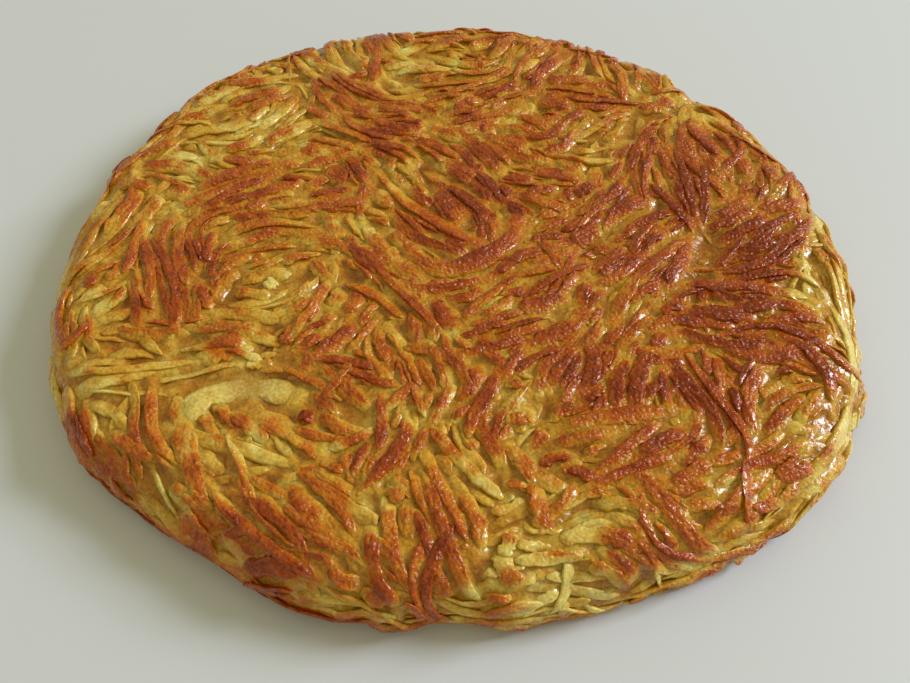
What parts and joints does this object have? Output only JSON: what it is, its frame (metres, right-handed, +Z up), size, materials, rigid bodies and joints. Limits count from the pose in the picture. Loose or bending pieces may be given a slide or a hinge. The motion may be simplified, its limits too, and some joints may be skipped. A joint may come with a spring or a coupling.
{
  "type": "potato rosti",
  "caption": "Round, flat cake of coarsely grated potato, pan-fried to a golden brown crust, with an uneven shredded edge.",
  "frame": {"origin": "middle of the base, on the surface that the cake rests on", "axes": "+Z up out of the browned top face; +X across and +Y away from the diner"},
  "size_m": [0.234, 0.2242, 0.0217],
  "materials": {
    "fried_potato": "fried grated potato: golden to chestnut brown where it met the pan, paler yellow on the sides of the shreds and in the recesses, with a light sheen of frying fat"
  },
  "bodies": {
    "root": {"potato_rosti": "fried_potato"}
  },
  "joints": []
}
